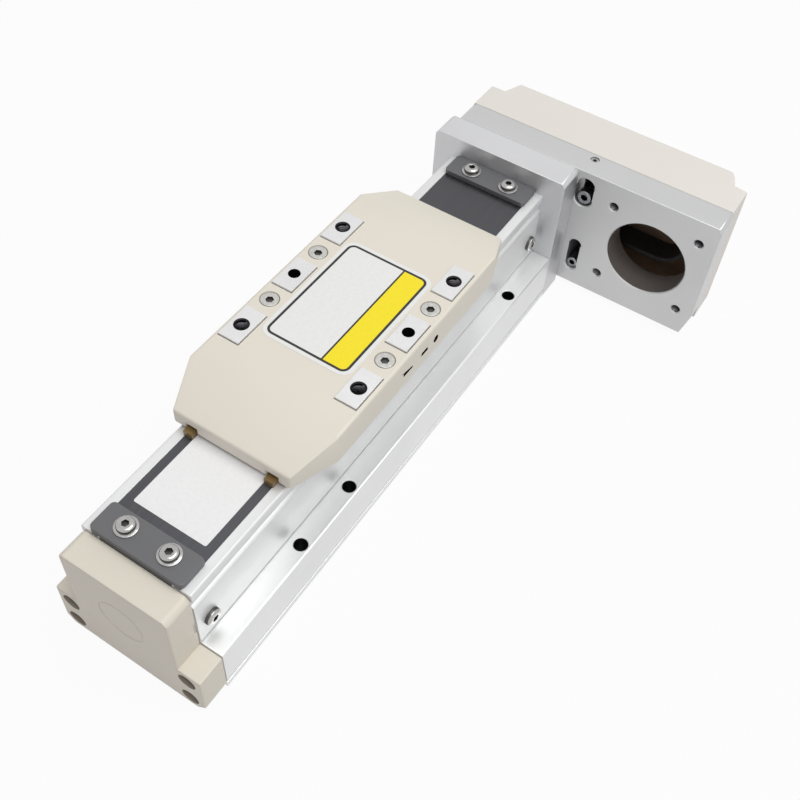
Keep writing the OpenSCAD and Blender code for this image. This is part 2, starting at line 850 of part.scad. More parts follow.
module slider_table() {
    x0 = -table_l / 2;
    color("gainsboro") carriage() difference() {
        union() {
            translate([x0, -table_half, table_low])
                cube([table_l, table_w, table_top - table_low]);
            pads(table_top - 1, pad_h - table_top + 1, 0);
        }
        // Tunnel for the strip
        translate([x0 - 1, -tunnel_half, bridge_top])
            cube([table_l + 2, 2 * tunnel_half, table_top]);
        for (x = [-pad_pitch_x / 2, pad_pitch_x / 2])
            both_sides() translate([x, pad_pitch_y / 2, pad_h - 10])
                cylinder(h = 11, r = pad_hole_r);
        both_sides() translate([0, pad_pitch_y / 2, pad_h - 6])
            cylinder(h = 7, r = dowel_r);
        for (x = [-cover_screw_x, cover_screw_x])
            both_sides() translate([x, pad_pitch_y / 2, table_top - 6])
                cylinder(h = 7, r = m3_r + thread_gap);
        table_screw_spots() {
            translate([0, 0, table_low - 1]) cylinder(h = 4, r = m4_r + 0.25);
            translate([0, 0, bridge_top - 1.5])
                cylinder(h = 1.5 + eps, r1 = m4_r + 0.25, r2 = 3.75);
        }
        // Bore for the grease nipple
        translate([grease_x, -table_half - 1, grease_z]) rotate([-90, 0, 0])
            cylinder(h = 5, r = 1.1);
        clip_slots(-table_half - 1, 2.2);
    }
}

module table_screws() {
    color("white") carriage() table_screw_spots()
        translate([0, 0, bridge_top - 0.2]) flat_screw(m4_r, 8, 3.4, 1.3);
}

grease_x = 8;
grease_z = 53;

// Clips of the cover's right skirt: start and length of each, and their slots' height
clips = [[-0.2, 3.6], [-10, 5]];
clip_h = 1.4;

// Slots for the clips, reaching in from y over a depth d
module clip_slots(y, d) {
    for (c = clips)
        translate([c[0], y, grease_z - clip_h / 2]) cube([c[1], d, clip_h]);
}

module grease_nipple() {
    color("goldenrod") carriage() translate([grease_x, -table_half - 0.9, grease_z])
        rotate([-90, 0, 0]) difference() {
            union() {
                cylinder(h = 4.5, r = 1);
                translate([0, 0, -0.2]) cylinder(h = 1, r = 0.8);
            }
            translate([0, 0, -1]) cylinder(h = 2.5, r = 0.35);
        }
}

// Convex body of the cover, with every face moved inwards by t
module cover_body(t) {
    plan_half = cover_w / 2 - t;
    end_half = cover_end_w / 2 - t;
    end_x = cover_l / 2 - t;
    low = t > 0 ? cover_rim_h - 1 : cover_rim_h;
    top = t > 0 ? table_top + 0.2 : cover_h;
    end_top = cover_end_h - t;
    crease = crease_x - t * 0.3;
    round_r = t > 0 ? 0.3 : 1.2;
    intersection() {
        translate([0, 0, low - 1]) linear_extrude(cover_h) polygon([
            [end_x, end_half], [crease, plan_half], [-crease, plan_half],
            [-end_x, end_half], [-end_x, -end_half], [-crease, -plan_half],
            [crease, -plan_half], [end_x, -end_half]
        ]);
        translate([0, cover_w, 0]) rotate([90, 0, 0]) linear_extrude(2 * cover_w)
            polygon([
                [-end_x, low], [end_x, low], [end_x, end_top], [crease, top],
                [-crease, top], [-end_x, end_top]
            ]);
        translate([-cover_l, 0, 0]) along_x(2 * cover_l)
            offset(r = round_r, $fn = 24) offset(delta = -round_r) polygon([
                [-plan_half, low - 5], [plan_half, low - 5],
                [plan_half - 0.1, top], [-plan_half + 0.1, top]
            ]);
    }
}

module slider_cover() {
    color("#e1dcd0") carriage() difference() {
        cover_body(0);
        cover_body(cover_skin);
        pads(table_top - 1, 5, pad_gap);
        // Notches in the end walls for the strip shoes
        both_sides() translate([-cover_l, shoe_y - shoe_w / 2 - 0.3, cover_rim_h - 1])
            cube([2 * cover_l, shoe_w + 0.6, 3.2]);
        // Countersinks for the cover's screws
        for (x = [-cover_screw_x, cover_screw_x])
            both_sides() translate([x, pad_pitch_y / 2, cover_h]) {
                translate([0, 0, -4]) cylinder(h = 5, r = m3_r + flat_gap);
                translate([0, 0, -1.4])
                    cylinder(h = 1.4 + eps, r1 = m3_r + flat_gap, r2 = flat_head_r + flat_gap);
            }
        // Grease access and two clip slots in the right skirt
        translate([grease_x, -cover_w, grease_z]) rotate([-90, 0, 0])
            cylinder(h = cover_w / 2 + 3, r = 1.3);
        clip_slots(-cover_w, cover_w / 2 + 1);
    }
}

module slider_cover_screws() {
    color("white") carriage() for (x = [-cover_screw_x, cover_screw_x])
        both_sides() translate([x, pad_pitch_y / 2, cover_h - 0.1])
            flat_screw(m3_r, 7, flat_head_r, 1.25);
}

// Plate across the channel with a lip in each rail's groove
module wiper_section() {
    translate([-block_side, block_low + 0.2])
        square([2 * block_side, flange_h - block_low - 0.4]);
    for (y = [-groove_y, groove_y])
        translate([y, rail_mid]) circle(r = groove_r - 0.1);
}

// Wipers screwed to both ends of the carriage
module end_wipers() {
    wiper_t = 1.8;
    near_x = nut_flange_t - block_half - wiper_t;
    color("#303030") carriage() {
        difference() {
            translate([near_x, 0, 0]) along_x(wiper_t) wiper_section();
            translate([0, 0, axis_h]) rod_x(near_x - 1, nut_flange_d / 2 + 0.3, wiper_t + 2);
        }
        translate([block_half, 0, 0]) along_x(wiper_t) wiper_section();
    }
}

// Two fingers on a crossbar that hold the strip's edges down ahead of the ramp
module strip_shoes() {
    tip = cover_l / 2 + shoe_reach;
    foot = table_l / 2 + 0.5 + ramp_l + 0.6;
    root = table_l / 2;
    both_sides() {
        translate([foot, shoe_y - shoe_w / 2, body_h + 0.05])
            cube([tip - foot, shoe_w, 2]);
        translate([foot - 3, shoe_y - shoe_w / 2, body_h + 1.6])
            cube([3.01, shoe_w, 1.7]);
        translate([root, tunnel_half + 0.6, bridge_top + 0.4])
            cube([3, 4, 3]);
    }
    difference() {
        translate([root, -tunnel_half - 1.4, bridge_top + 2.2])
            cube([2.4, 2 * tunnel_half + 2.8, 1.4]);
        translate([root - 1, -3, bridge_top + 1]) cube([5, 6, 2]);
    }
    both_sides() hull() {
        translate([root, shoe_y - shoe_w / 2, bridge_top + 2.2])
            cube([2.4, shoe_w, 1.4]);
        translate([foot - 1, shoe_y - shoe_w / 2, body_h + 1.7])
            cube([1, shoe_w, 1.4]);
    }
}

module strip_shoes_far() {
    color("#a8702c") carriage() strip_shoes();
}

module strip_shoes_near() {
    color("#a8702c") carriage() mirror([1, 0, 0]) strip_shoes();
}

// ---------------------------------------------------------------- screw

// Cross-section of the thread: a round with one dip for each start
module thread_section() {
    n = 20;
    depth = 0.8;
    dip = 94 / starts * 2;
    function from_start(a) = min([for (k = [-starts:starts]) abs(a - k * 360 / starts)]);
    function wall(a) = from_start(a) > dip / 2 ? screw_d / 2
        : screw_d / 2 - depth * cos(90 * from_start(a) / (dip / 2));
    polygon([for (i = [0:n - 1])
        let (a = 360 * i / n) wall(a) * [cos(a), sin(a)]]);
}

module ball_screw() {
    x0 = end_l - base_half + 1.5;
    x1 = bearing_x - 2;
    l = x1 - x0;
    color("lightgrey") translate([0, 0, axis_h]) {
        translate([x0, 0, 0]) rotate([90, 0, 90])
            linear_extrude(l, twist = -360 * l / lead, slices = round(8 * l / lead), $fn = 8)
                thread_section();
        rod_x(0.5 - base_half, idle_shaft_r, x0 + base_half + 0.5);
        // Ground shoulder that the bearings' inner rings seat on
        rod_x(x1 - 0.5, screw_d / 2 + collar_step, bearing_x - x1 + 0.5);
        rod_x(bearing_x - 1, bearing_shaft_r, pulley_x + pulley_l - bearing_x + 2);
    }
}

module lock_nut() {
    x = bearing_x + 2 * bearing_w;
    color("grey") translate([0, 0, axis_h]) difference() {
        rod_x(x, 7.4, 4.6);
        rod_x(x - 1, bearing_shaft_r + seat_gap, 7);
        for (a = [0:90:270]) rotate([a, 0, 0])
            translate([x + 2, -1, 6.2]) cube([4, 2, 3]);
    }
}

module screw_pulley() {
    tooth_r = 0.9;
    hub_l = 7;
    color("silver") translate([0, 0, axis_h]) difference() {
        union() {
            translate([pulley_x, 0, 0]) along_x(pulley_l) difference() {
                circle(r = pulley_r);
                for (i = [0:pulley_teeth - 1]) rotate(i * 360 / pulley_teeth)
                    translate([pulley_r + 0.25, 0]) circle(r = tooth_r, $fn = 24);
            }
            rod_x(pulley_x, pulley_flange_r, pulley_flange_t);
            rod_x(pulley_x + pulley_l - pulley_flange_t, pulley_flange_r, pulley_flange_t);
            rod_x(pulley_x - hub_l, 7.5, hub_l + 0.5);
        }
        rod_x(pulley_x - hub_l - 1, bearing_shaft_r + seat_gap, hub_l + pulley_l + 2);
        translate([pulley_x - 4, 0, 0]) cylinder(h = 10, r = m3_r + thread_gap);
    }
}

module pulley_set_screw() {
    color("dimgrey") translate([pulley_x - 4, 0, axis_h + bearing_shaft_r + 0.05])
        difference() {
            cylinder(h = 3, r = m3_r);
            translate([0, 0, 1.5]) cylinder(h = 2, r = 0.8, $fn = 6);
        }
}

// ---------------------------------------------------------------- nodes

base_profile();
rail(1);  // rail_left
rail(-1);  // rail_right
side_cover(1);  // side_cover_left
side_cover(-1);  // side_cover_right
side_cover_screws();
magnet_strips();
cover_strip();
strip_clamp_near();
strip_clamp_far();
clamp_screws();
idle_block();
idle_bearing();
idle_bearing_inner();
end_cap();
end_cap_screws();
bearing_block();
bearing_block_screws();
fixed_bearings();
fixed_bearings_inner();
bearing_retainer();
bumper_near();
bumper_far();
motor_plate();
motor_plate_screws();
slot_screw_upper();
slot_screw_lower();
tension_set_screw();
timing_belt();
belt_cover();
belt_cover_screws();
slider_block();
ball_nut();
nut_screws();
slider_table();
table_screws();
slider_cover();
slider_cover_screws();
grease_nipple();
strip_shoes_near();
strip_shoes_far();
end_wipers();
ball_screw();
lock_nut();
screw_pulley();
pulley_set_screw();
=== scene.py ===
import json
import math
import bpy
import bmesh
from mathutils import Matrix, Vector

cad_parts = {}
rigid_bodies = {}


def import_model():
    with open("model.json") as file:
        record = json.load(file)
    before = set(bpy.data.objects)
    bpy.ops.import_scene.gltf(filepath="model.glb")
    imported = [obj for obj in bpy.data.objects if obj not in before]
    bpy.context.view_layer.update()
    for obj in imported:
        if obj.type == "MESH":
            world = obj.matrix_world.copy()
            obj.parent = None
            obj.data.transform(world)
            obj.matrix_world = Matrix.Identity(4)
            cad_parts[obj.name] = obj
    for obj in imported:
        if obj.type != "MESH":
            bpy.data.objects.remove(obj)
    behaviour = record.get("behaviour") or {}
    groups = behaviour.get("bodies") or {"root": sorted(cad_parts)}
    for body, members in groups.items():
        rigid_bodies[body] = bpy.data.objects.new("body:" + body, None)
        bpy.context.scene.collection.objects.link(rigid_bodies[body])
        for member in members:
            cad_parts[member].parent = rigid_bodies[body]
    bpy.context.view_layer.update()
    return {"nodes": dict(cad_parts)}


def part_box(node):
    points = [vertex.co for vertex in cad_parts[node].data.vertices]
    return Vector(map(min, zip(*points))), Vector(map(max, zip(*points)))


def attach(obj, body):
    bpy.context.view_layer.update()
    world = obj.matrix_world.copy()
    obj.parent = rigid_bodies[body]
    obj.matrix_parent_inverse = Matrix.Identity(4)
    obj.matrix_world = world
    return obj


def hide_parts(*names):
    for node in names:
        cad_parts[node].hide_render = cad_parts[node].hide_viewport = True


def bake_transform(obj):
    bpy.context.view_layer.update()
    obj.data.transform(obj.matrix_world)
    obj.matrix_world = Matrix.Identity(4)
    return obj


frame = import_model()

coverLow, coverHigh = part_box("slider_cover")
slideX = (coverLow.x + coverHigh.x) / 2  # middle of the slider as built
hair = 0.000002  # points closer together than this count as one
sameWay = 0.9999  # least cosine between the normals of faces in one plane
fewCorners = 8
print("frame loaded")


# modelling helpers

def clearSelection():
    active = bpy.context.view_layer.objects.active
    if active and active.mode != "OBJECT":
        bpy.ops.object.mode_set(mode="OBJECT")
    bpy.ops.object.select_all(action="DESELECT")


# selects these pieces and makes the first one active
def pick(*pieces):
    clearSelection()
    for piece in pieces:
        piece.select_set(True)
    bpy.context.view_layer.objects.active = pieces[0]


def applyPlace(piece):
    pick(piece)
    bpy.ops.object.transform_apply(location=True, rotation=True, scale=True)


def applyModifiers(piece):
    pick(piece)
    for m in list(piece.modifiers):
        bpy.ops.object.modifier_apply(modifier=m.name)


def joined(pieces, name):
    pick(*pieces)
    bpy.ops.object.join()
    whole = bpy.context.view_layer.objects.active
    whole.name = name
    whole.data.name = name
    return whole


def editAll(piece):
    pick(piece)
    bpy.ops.object.mode_set(mode="EDIT")
    bpy.ops.mesh.select_all(action="SELECT")


# ends in edit mode with only the wanted edges or faces selected
def selectWhere(piece, kind, test):
    pick(piece)
    bpy.ops.object.mode_set(mode="EDIT")
    bpy.ops.mesh.select_mode(type=kind)
    bpy.ops.mesh.select_all(action="DESELECT")
    mesh = bmesh.from_edit_mesh(piece.data)
    found = [part for part in (mesh.edges if kind == "EDGE" else mesh.faces) if test(part)]
    for part in found:
        part.select = True
    bmesh.update_edit_mesh(piece.data)
    return len(found)


def bevelEdges(piece, test, width, segments, loopSlide=True):
    if selectWhere(piece, "EDGE", test):
        bpy.ops.mesh.bevel(offset=width, offset_type="OFFSET", segments=segments,
                           profile=0.5, clamp_overlap=False, loop_slide=loopSlide)
    bpy.ops.object.mode_set(mode="OBJECT")


# cut into triangles, gaps filled and slivers without area closed up
def closeSlivers(piece, reach):
    editAll(piece)
    bpy.ops.mesh.fill_holes(sides=0)
    bpy.ops.mesh.select_all(action="SELECT")
    bpy.ops.mesh.quads_convert_to_tris(quad_method="BEAUTY", ngon_method="BEAUTY")
    bpy.ops.mesh.select_all(action="SELECT")
    bpy.ops.mesh.dissolve_degenerate(threshold=reach)
    bpy.ops.mesh.select_all(action="SELECT")
    bpy.ops.mesh.normals_make_consistent(inside=False)
    bpy.ops.object.mode_set(mode="OBJECT")


def smoothBelow(piece, angle):
    pick(piece)
    bpy.ops.object.shade_smooth_by_angle(angle=math.radians(angle))


def finishShading(piece, angle=35):
    smoothBelow(piece, angle)
    weighted = piece.modifiers.new("weighted", "WEIGHTED_NORMAL")
    weighted.keep_sharp = True
    applyModifiers(piece)


# a merged copy of a CAD piece, free to be worked on
def workCopy(node, name):
    pick(frame["nodes"][node])
    bpy.ops.object.duplicate(linked=False)
    piece = bpy.context.view_layer.objects.active
    bpy.ops.object.parent_clear(type="CLEAR_KEEP_TRANSFORM")
    for key in list(piece.keys()):
        del piece[key]
    piece.name = name
    piece.data.name = name
    editAll(piece)
    bpy.ops.mesh.remove_doubles(threshold=hair)
    bpy.ops.mesh.customdata_custom_splitnormals_clear()
    bpy.ops.mesh.dissolve_limited(angle_limit=math.radians(0.5))
    bpy.ops.object.mode_set(mode="OBJECT")
    piece.data.materials.clear()
    return piece


def edgeAngle(e):
    return e.calc_face_angle(0.0) if len(e.link_faces) == 2 else 0.0


# broken edges, as on a deburred or moulded part: long convex edges only
def breakEdges(piece, width, shortest, segments=2, sharper=25, where=None, refill=True):
    limit = math.radians(sharper)
    bevelEdges(piece, lambda e: e.is_convex and edgeAngle(e) > limit
               and e.calc_length() > shortest and (where is None or where(e)),
               width, segments, loopSlide=False)
    if refill:
        refillFlats(piece)


# flat faces that meet edge to edge in one plane, largest first; a face of its own counts too
# when it has many corners
def flatRegions(mesh):
    largestFirst = sorted(mesh.faces, key=lambda f: -f.calc_area())
    seen = set()
    for first in largestFirst:
        if first in seen:
            continue
        normal = first.normal.copy()
        level = normal.dot(first.verts[0].co)
        region = []
        todo = [first]
        while todo:
            f = todo.pop()
            if f in seen or f.normal.dot(normal) < sameWay:
                continue
            if max(abs(normal.dot(v.co) - level) for v in f.verts) > hair:
                continue
            seen.add(f)
            region.append(f)
            todo += [g for e in f.edges for g in e.link_faces if g not in seen]
        if len(region) > 1 or region and len(first.verts) > fewCorners:
            yield region, normal


# each flat region is filled afresh from its outlines, so that no face folds over a hole
def refillFlats(piece):
    pick(piece)
    bpy.ops.object.mode_set(mode="EDIT")
    mesh = bmesh.from_edit_mesh(piece.data)
    for region, normal in list(flatRegions(mesh)):
        within = set(region)
        edges = {e for f in region for e in f.edges}
        rims = {e for e in edges if sum(g in within for g in e.link_faces) == 1}
        bmesh.ops.delete(mesh, geom=region, context="FACES_ONLY")
        bmesh.ops.delete(mesh, geom=[e for e in edges if e not in rims], context="EDGES")
        bmesh.ops.triangle_fill(mesh, edges=list(rims), use_beauty=True, normal=normal)
    bmesh.update_edit_mesh(piece.data)
    bpy.ops.object.mode_set(mode="OBJECT")


# materials

noiseSpan = (0.3, 0.7)  # where nearly all of a noise pattern's values lie


# a screen colour as the shader's own colour
def tone(r, g, b):
    return tuple((c / 255 / 12.92) if c <= 10 else ((c / 255 + 0.055) / 1.055) ** 2.4
                 for c in (r, g, b)) + (1.0,)


def startMaterial(name, metal, rough):
    material = bpy.data.materials.new(name)
    material.use_nodes = True
    tree = material.node_tree
    tree.nodes.clear()
    out = tree.nodes.new("ShaderNodeOutputMaterial")
    shader = tree.nodes.new("ShaderNodeBsdfPrincipled")
    shader.inputs["Metallic"].default_value = metal
    shader.inputs["Roughness"].default_value = rough
    tree.links.new(shader.outputs["BSDF"], out.inputs["Surface"])
    return material, tree, shader


# noise on object coordinates; cells to the metre along x, y and z, or one number for all three
def grain(tree, cells, detail=3.0, rough=0.5):
    coords = tree.nodes.new("ShaderNodeTexCoord")
    place = tree.nodes.new("ShaderNodeMapping")
    place.inputs["Scale"].default_value = cells if isinstance(cells, tuple) else (cells,) * 3
    noise = tree.nodes.new("ShaderNodeTexNoise")
    noise.inputs["Scale"].default_value = 1.0
    noise.inputs["Detail"].default_value = detail
    noise.inputs["Roughness"].default_value = rough
    tree.links.new(coords.outputs["Object"], place.inputs["Vector"])
    tree.links.new(place.outputs["Vector"], noise.inputs["Vector"])
    return noise.outputs["Fac"]


# the noise tints the colour, from a darker to a lighter share of it
def tinted(tree, source, shader, colour, darker, lighter):
    node = tree.nodes.new("ShaderNodeValToRGB")
    ends = node.color_ramp.elements
    for end, place, share in ((ends[0], noiseSpan[0], darker), (ends[1], noiseSpan[1], lighter)):
        end.position = place
        end.color = tuple(min(1.0, c * share) for c in colour[:3]) + (1.0,)
    tree.links.new(source, node.inputs["Fac"])
    tree.links.new(node.outputs["Color"], shader.inputs["Base Color"])


# the noise moves the roughness between two values
def worn(tree, source, shader, low, high):
    node = tree.nodes.new("ShaderNodeMapRange")
    node.inputs["From Min"].default_value = noiseSpan[0]
    node.inputs["From Max"].default_value = noiseSpan[1]
    node.inputs["To Min"].default_value = low
    node.inputs["To Max"].default_value = high
    tree.links.new(source, node.inputs["Value"])
    tree.links.new(node.outputs["Result"], shader.inputs["Roughness"])


def relief(tree, source, shader, strength, depth):
    node = tree.nodes.new("ShaderNodeBump")
    node.inputs["Strength"].default_value = strength
    node.inputs["Distance"].default_value = depth
    tree.links.new(source, node.inputs["Height"])
    tree.links.new(node.outputs["Normal"], shader.inputs["Normal"])


# satin clear anodised extrusion, with faint lines drawn along its length
def drawnMetal(name, colour, rough=0.34, metal=0.6):
    material, tree, shader = startMaterial(name, metal, rough)
    streaks = grain(tree, (9, 1600, 1600), detail=2.0)
    tinted(tree, grain(tree, 26), shader, colour, darker=0.97, lighter=1.03)
    worn(tree, streaks, shader, low=rough - 0.05, high=rough + 0.07)
    relief(tree, streaks, shader, strength=0.10, depth=0.00004)
    shader.inputs["Anisotropic"].default_value = 0.35
    return material


# bead-blasted and anodised block, with an even fine grain
def blastedMetal(name, colour, rough=0.42, cells=2600, metal=0.88):
    material, tree, shader = startMaterial(name, metal, rough)
    pits = grain(tree, cells, detail=2.0)
    tinted(tree, grain(tree, 32, detail=4.0), shader, colour, darker=0.97, lighter=1.03)
    worn(tree, pits, shader, low=rough - 0.05, high=rough + 0.08)
    relief(tree, pits, shader, strength=0.16, depth=0.00005)
    return material


# ground or turned steel
def groundSteel(name, colour, rough=0.25, cells=(60, 2400, 2400), contrast=0.08):
    material, tree, shader = startMaterial(name, 1.0, rough)
    marks = grain(tree, cells)
    tinted(tree, marks, shader, colour, darker=1 - contrast, lighter=1 + contrast)
    worn(tree, marks, shader, low=rough - 0.06, high=rough + 0.08)
    relief(tree, marks, shader, strength=0.12, depth=0.00003)
    return material


# moulded plastic with a fine eroded texture
def mouldedPlastic(name, colour, rough=0.48, cells=1500, contrast=0.015, pitDepth=0.00006):
    material, tree, shader = startMaterial(name, 0.0, rough)
    pits = grain(tree, cells, detail=2.5, rough=0.6)
    tinted(tree, grain(tree, 22), shader, colour, darker=1 - contrast, lighter=1 + contrast)
    worn(tree, pits, shader, low=rough - 0.06, high=rough + 0.08)
    relief(tree, pits, shader, strength=0.18, depth=pitDepth)
    return material


def softRubber(name, colour, rough=0.7):
    material, tree, shader = startMaterial(name, 0.0, rough)
    dust = grain(tree, 900, detail=4.0)
    tinted(tree, dust, shader, colour, darker=0.8, lighter=1.5)
    relief(tree, dust, shader, strength=0.2, depth=0.00006)
    return material


# translucent amber moulding
def amberPlastic(name, colour):
    material, tree, shader = startMaterial(name, 0.0, 0.28)
    flow = grain(tree, 160)
    tinted(tree, flow, shader, colour, darker=0.75, lighter=1.15)
    relief(tree, flow, shader, strength=0.05, depth=0.0001)
    shader.inputs["Coat Weight"].default_value = 0.3
    shader.inputs["Coat Roughness"].default_value = 0.15
    return material


# coated sticker stock or paper
def printedFilm(name, colour, rough=0.38):
    material, tree, shader = startMaterial(name, 0.0, rough)
    fibres = grain(tree, (1200, 720, 1200))
    tinted(tree, fibres, shader, colour, darker=0.97, lighter=1.02)
    worn(tree, fibres, shader, low=rough - 0.04, high=rough + 0.05)
    relief(tree, fibres, shader, strength=0.06, depth=0.00003)
    return material


finish = {
    "baseMetal": drawnMetal("anodisedExtrusion", tone(233, 233, 234)),
    "coverMetal": drawnMetal("anodisedSideCover", tone(226, 226, 228), 0.44, metal=0.4),
    "blockMetal": blastedMetal("blastedBlock", tone(212, 212, 214)),
    "plateMetal": blastedMetal("blastedPlate", tone(203, 203, 204), 0.4),
    "padMetal": blastedMetal("millFacedPad", tone(230, 229, 231), 0.34, 1800, metal=0.6),
    # painted shade: a darker look for the motor bore's wall
    "boreShadeMetal": drawnMetal("boredWallShade", tone(158, 150, 146), 0.4),
    # painted shade: a near-black look for the walls of holes, slots and sockets
    "holeShade": groundSteel("paintedHoleShade", tone(52, 50, 52), 0.5, 900),
    "pulleyMetal": groundSteel("turnedPulley", tone(190, 190, 193), 0.3, (2400, 200, 200)),
    "stripSteel": groundSteel("darkStrip", tone(89, 89, 93), 0.38, (30, 1800, 1800), 0.03),
    "clampSteel": blastedMetal("blackenedClamp", tone(106, 106, 109), 0.5, metal=0.3),
    "screwSteel": groundSteel("brightScrew", tone(184, 183, 182), 0.2, 900),
    "slotSteel": groundSteel("dullScrew", tone(150, 152, 156), 0.3, 900),
    "flatSteel": groundSteel("millScrew", tone(204, 203, 199), 0.34, 900),
    # painted shade: a dark look for sockets and for the upright sides of button heads
    "socketShadeSteel": groundSteel("socketShade", tone(96, 95, 94), 0.4, 900),
    "darkScrew": groundSteel("blackenedScrew", tone(70, 70, 72), 0.35, 1500),
    "railSteel": groundSteel("groundRail", tone(176, 177, 181), 0.22),
    "innerSteel": groundSteel("groundCarriage", tone(165, 166, 170), 0.28),
    "threadSteel": groundSteel("polishedThread", tone(196, 197, 200), 0.16, (1800, 900, 900)),
    # painted shade: a darker look for the cut threads down in the tapped holes
    "tapShadeMetal": groundSteel("cutThreadShade", tone(118, 116, 120), 0.3, 900),
    "bearingSteel": groundSteel("polishedRing", tone(205, 206, 209), 0.14, (2400, 600, 600)),
    "capPlastic": mouldedPlastic("ivoryCap", tone(221, 214, 203)),
    # painted shade: a darker look for the cap's screw seats
    "capShade": mouldedPlastic("capRecessShade", tone(164, 155, 144), 0.55),
    "sliderPlastic": mouldedPlastic("ivorySlider", tone(225, 219, 208), 0.44),
    # painted shade: a darker look for the shell's countersinks
    "seatShade": mouldedPlastic("sliderSeatShade", tone(168, 163, 154), 0.5),
    "beltPlastic": mouldedPlastic("ivoryBeltCover", tone(226, 221, 217), 0.5),
    # painted shade: a darker, browner look for the belt cover's inner faces
    "beltInsideShade": mouldedPlastic("coverInsideShade", tone(172, 146, 126), 0.6, 700, 0.08, 0.0002),
    "shoePlastic": amberPlastic("amberShoe", tone(124, 100, 58)),
    "magnet": softRubber("flexibleMagnet", tone(58, 55, 54)),
    "rubber": softRubber("bumperRubber", tone(34, 34, 35)),
    "belt": softRubber("beltRubber", tone(26, 26, 27), 0.6),
    "brass": groundSteel("turnedBrass", tone(112, 60, 48), 0.35, 2000),
    "whiteFilm": printedFilm("whiteFilm", tone(232, 232, 233)),
    "yellowFilm": printedFilm("yellowFilm", tone(246, 225, 26)),
    "blackInk": printedFilm("blackInk", tone(36, 34, 34)),
    "paper": printedFilm("labelPaper", tone(238, 237, 240), 0.6),
}
print("materials made")

# what each CAD piece is finished with
wear = {
    "baseMetal": ["base_profile"],
    "coverMetal": ["side_cover_left", "side_cover_right"],
    "blockMetal": ["bearing_block"],
    "plateMetal": ["motor_plate"],
    "padMetal": ["slider_table"],
    "pulleyMetal": ["screw_pulley"],
    "clampSteel": ["strip_clamp_near", "strip_clamp_far", "idle_block"],
    "screwSteel": ["side_cover_screws", "clamp_screws", "end_cap_screws", "bearing_block_screws",
                   "motor_plate_screws", "slot_screw_upper", "slot_screw_lower",
                   "belt_cover_screws", "nut_screws", "table_screws", "slider_cover_screws",
                   "tension_set_screw"],
    "darkScrew": ["pulley_set_screw"],
    "railSteel": ["rail_left", "rail_right"],
    "innerSteel": ["slider_block", "ball_nut", "bearing_retainer", "lock_nut"],
    "threadSteel": ["ball_screw"],
    "bearingSteel": ["idle_bearing", "idle_bearing_inner", "fixed_bearings",
                     "fixed_bearings_inner"],
    "capPlastic": ["end_cap"],
    "sliderPlastic": ["slider_cover"],
    "beltPlastic": ["belt_cover"],
    "shoePlastic": ["strip_shoes_near", "strip_shoes_far"],
    "magnet": ["magnet_strips"],
    "rubber": ["bumper_near", "bumper_far", "end_wipers"],
    "belt": ["timing_belt"],
    "brass": ["grease_nipple"],
    "stripSteel": ["cover_strip"],
}
for look, nodes in wear.items():
    for node in nodes:
        held = frame["nodes"][node]
        held.data.materials.clear()
        held.data.materials.append(finish[look])

# where the drilled and moulded features lie
tableLow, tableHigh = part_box("slider_table")
lidLow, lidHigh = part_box("belt_cover")
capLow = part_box("end_cap")[0]
seatsLow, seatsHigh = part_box("end_cap_screws")
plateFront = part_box("motor_plate")[0].x
padTop = tableHigh.z
padHoles = {"along": (-0.026, 0, 0.026), "across": 0.021, "radius": 0.0027}
shellSinks = {"along": 0.0125, "across": 0.021, "radius": 0.0034, "slope": (0.2, 0.95)}
skirtSlots = {"level": 0.053, "half": 0.0014, "reach": 0.012, "deepest": 0.003}
capHead = 0.00275  # radius of the cap's screw heads
capSeats = {"across": seatsHigh.y - capHead, "radius": 0.0033,
            "levels": (seatsLow.z + capHead, seatsHigh.z - capHead)}
# the flange's holes open above its mid level, and the middles of their walls lie below it
flange = {"middle": 0.011, "holes": (-0.055, -0.030, 0.070), "across": 0.023, "radius": 0.0023}
# the bore's wall lies between two radii; its screw holes lie off its axis along y and z alike
motorBore = {"y": -0.058, "z": 0.029, "from": 0.0142, "to": 0.0153, "screws": 0.01625}
tableSide = {"deep": 0.0016, "below": 0.0045}  # what shows through the skirt's slots
shellSide = {"x": 0.036, "y": tableHigh.y + 0.0008}  # past these the shell's outside begins
# "facing": an inner face's plane stands at least this far off the middle of the lid's mouth
lid = {"wall": 0.0012, "mouth": lidLow.x + 0.0001, "facing": 0.001}
square = 0.3  # a normal with less than this along an axis stands square to it
skin = 0.00005  # inner faces begin this far under an outer one
rimDepth = 0.0002  # and this far in where the rim is broken
holeEdge = {"shortest": 0.00005, "longest": 0.0016}  # the edges round a hole's mouth


# distance to the nearest of several spots
def gap(a, b, spots):
    return min(math.hypot(a - x, b - y) for x, y in spots)


# pieces whose broken edges show; the shell's windows and the lid's mouth stay sharp
def onShellOutside(e):
    return all(abs(v.co.x - slideX) > shellSide["x"] or abs(v.co.y) > shellSide["y"]
               for v in e.verts)


def onLidOutside(e):
    return any(v.co.x > lid["mouth"] for v in e.verts)


# painted shade: the belt cover's inner faces, which face the middle of its mouth, take a darker,
# browner look
def insideLid(f):
    c, wall = f.center, lid["wall"]
    middle = Vector((lidLow.x, (lidLow.y + lidHigh.y) / 2, (lidLow.z + lidHigh.z) / 2))
    within = (lidLow.y + wall < c.y < lidHigh.y - wall
              and lidLow.z + wall < c.z < lidHigh.z - wall and c.x < lidHigh.x - wall)
    return within and f.normal.x < square and (middle - c).dot(f.normal) > lid["facing"]


# painted shade: the walls and floors of the drilled holes in the pads, and the table's sides that
# show through the skirt's slots, take a dark look
def insideTable(f):
    c = f.center
    across = gap(c.x - slideX, abs(c.y), [(x, padHoles["across"]) for x in padHoles["along"]])
    return (across < padHoles["radius"] and c.z < padTop - skin
            or c.y < tableLow.y + tableSide["deep"] and c.z < padTop - tableSide["below"])


